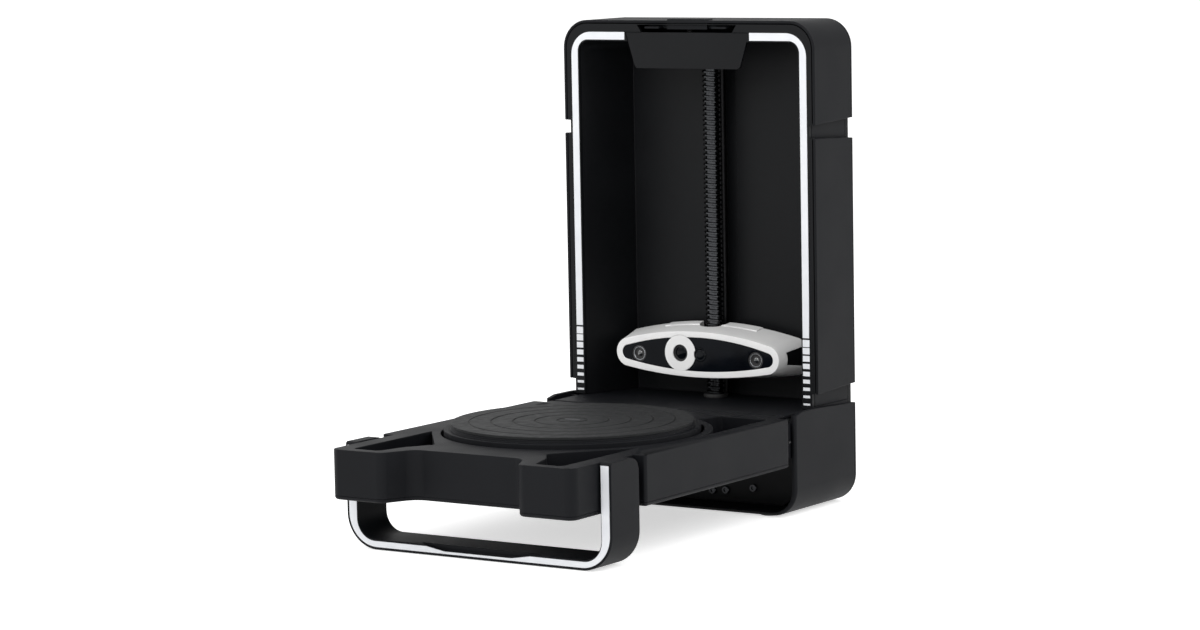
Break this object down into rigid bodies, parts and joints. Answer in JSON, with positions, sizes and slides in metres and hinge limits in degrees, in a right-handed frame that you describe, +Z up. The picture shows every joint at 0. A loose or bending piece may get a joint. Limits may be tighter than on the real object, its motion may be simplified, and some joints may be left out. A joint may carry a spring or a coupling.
{
  "type": "desktop 3d scanner",
  "caption": "Folding desktop 3D scanner: bed with a turntable, upright tower with a laser head on a lead screw, and a swinging loop that is both front foot and carrying handle.",
  "frame": {"origin": "on the table under the middle of the open scanner's box", "axes": "+X to the right seen from the front, +Y from the bed towards the tower, +Z up"},
  "size_m": [0.214, 0.3524, 0.346],
  "materials": {
    "casing_plastic": "finely textured matt black moulding",
    "bezel_plastic": "satin black moulding",
    "pale_inlay": "satin pale grey inlay",
    "white_plastic": "satin white moulding",
    "dark_gloss": "gloss black",
    "lens_glass": "coated lens",
    "steel": "ground steel",
    "brass": "turned brass",
    "motor_metal": "black painted steel",
    "rubber": "matt rubber",
    "board": "green circuit board",
    "socket_plastic": "black moulding"
  },
  "bodies": {
    "tower": {"tower_shell": "casing_plastic", "front_bezel": "bezel_plastic", "stripe_inlay": "pale_inlay", "level_bars": "pale_inlay", "nameplate": "bezel_plastic", "nameplate_bracket": "bezel_plastic", "cavity_liner": "bezel_plastic", "rear_cover": "casing_plastic", "rear_cover_screws": "steel", "base_shell": "casing_plastic", "base_top_plate": "casing_plastic", "base_front_panel": "casing_plastic", "panel_screws": "steel", "base_feet": "rubber", "hinge_brackets": "steel", "hinge_pins": "steel", "control_board": "board", "power_jack": "socket_plastic", "usb_socket": "socket_plastic", "lift_motor": "motor_metal", "motor_bracket": "steel", "lower_bearing": "socket_plastic", "upper_bearing": "socket_plastic", "guide_rod": "steel", "latch_spring": "steel"},
    "bed": {"bed_tray": "casing_plastic", "bed_bottom_cover": "casing_plastic", "bed_screws": "steel", "bed_hinge_arms": "casing_plastic", "bed_stop_pins": "steel", "turntable_motor": "motor_metal", "turntable_bearing": "steel", "drive_belt": "rubber", "handle_pivot_pins": "steel"},
    "turntable": {"platter": "casing_plastic", "rubber_mat": "rubber", "centre_mark": "rubber", "spindle": "steel", "platter_pulley": "socket_plastic"},
    "drive_pulley": {"motor_pulley": "brass"},
    "handle": {"handle_loop": "casing_plastic", "handle_stripe": "pale_inlay", "handle_feet": "rubber"},
    "head": {"head_shell": "white_plastic", "head_rear_cover": "bezel_plastic", "side_vents": "dark_gloss", "head_window": "dark_gloss", "camera_ring": "white_plastic", "camera_barrel": "dark_gloss", "camera_lens": "lens_glass", "sensor_knob": "dark_gloss", "laser_lenses": "lens_glass", "laser_modules": "brass", "head_board": "board", "head_carriage": "socket_plastic", "lead_nut": "brass", "guide_bush": "brass"},
    "screw": {"lead_screw": "steel", "screw_coupling": "steel"},
    "latch": {"latch_button": "casing_plastic"}
  },
  "joints": [
    {"name": "bed_fold", "type": "hinge", "parent": "tower", "child": "bed", "pos_m": [0, 0.10395, 0.055], "axis": [-1, 0, 0], "range_deg": [0, 90]},
    {"name": "handle_swing", "type": "hinge", "parent": "bed", "child": "handle", "pos_m": [0, -0.13555, 0.056], "axis": [-1, 0, 0], "range_deg": [0, 90]},
    {"name": "turntable_spin", "type": "hinge", "parent": "bed", "child": "turntable", "pos_m": [0, -0.03125, 0.07], "axis": [0, 0, 1], "continuous": true},
    {"name": "pulley_spin", "type": "hinge", "parent": "bed", "child": "drive_pulley", "pos_m": [0, 0.02375, 0.062], "axis": [0, 0, 1], "continuous": true},
    {"name": "head_lift", "type": "slide", "parent": "tower", "child": "head", "axis": [0, 0, 1], "range_m": [-0.008, 0.198]},
    {"name": "screw_spin", "type": "hinge", "parent": "tower", "child": "screw", "pos_m": [0, 0.15525, 0.2], "axis": [0, 0, 1], "continuous": true},
    {"name": "latch_press", "type": "slide", "parent": "tower", "child": "latch", "axis": [0, 0, -1], "range_m": [0, 0.002], "stiffness_N_per_m": 400, "springref_m": -0.001, "deforming": ["latch_spring"]}
  ],
  "couplings": [
    {"joint": "pulley_spin", "follows": "turntable_spin", "ratio": 4.2857},
    {"joint": "screw_spin", "follows": "head_lift", "rad_per_m": 1795.2}
  ]
}
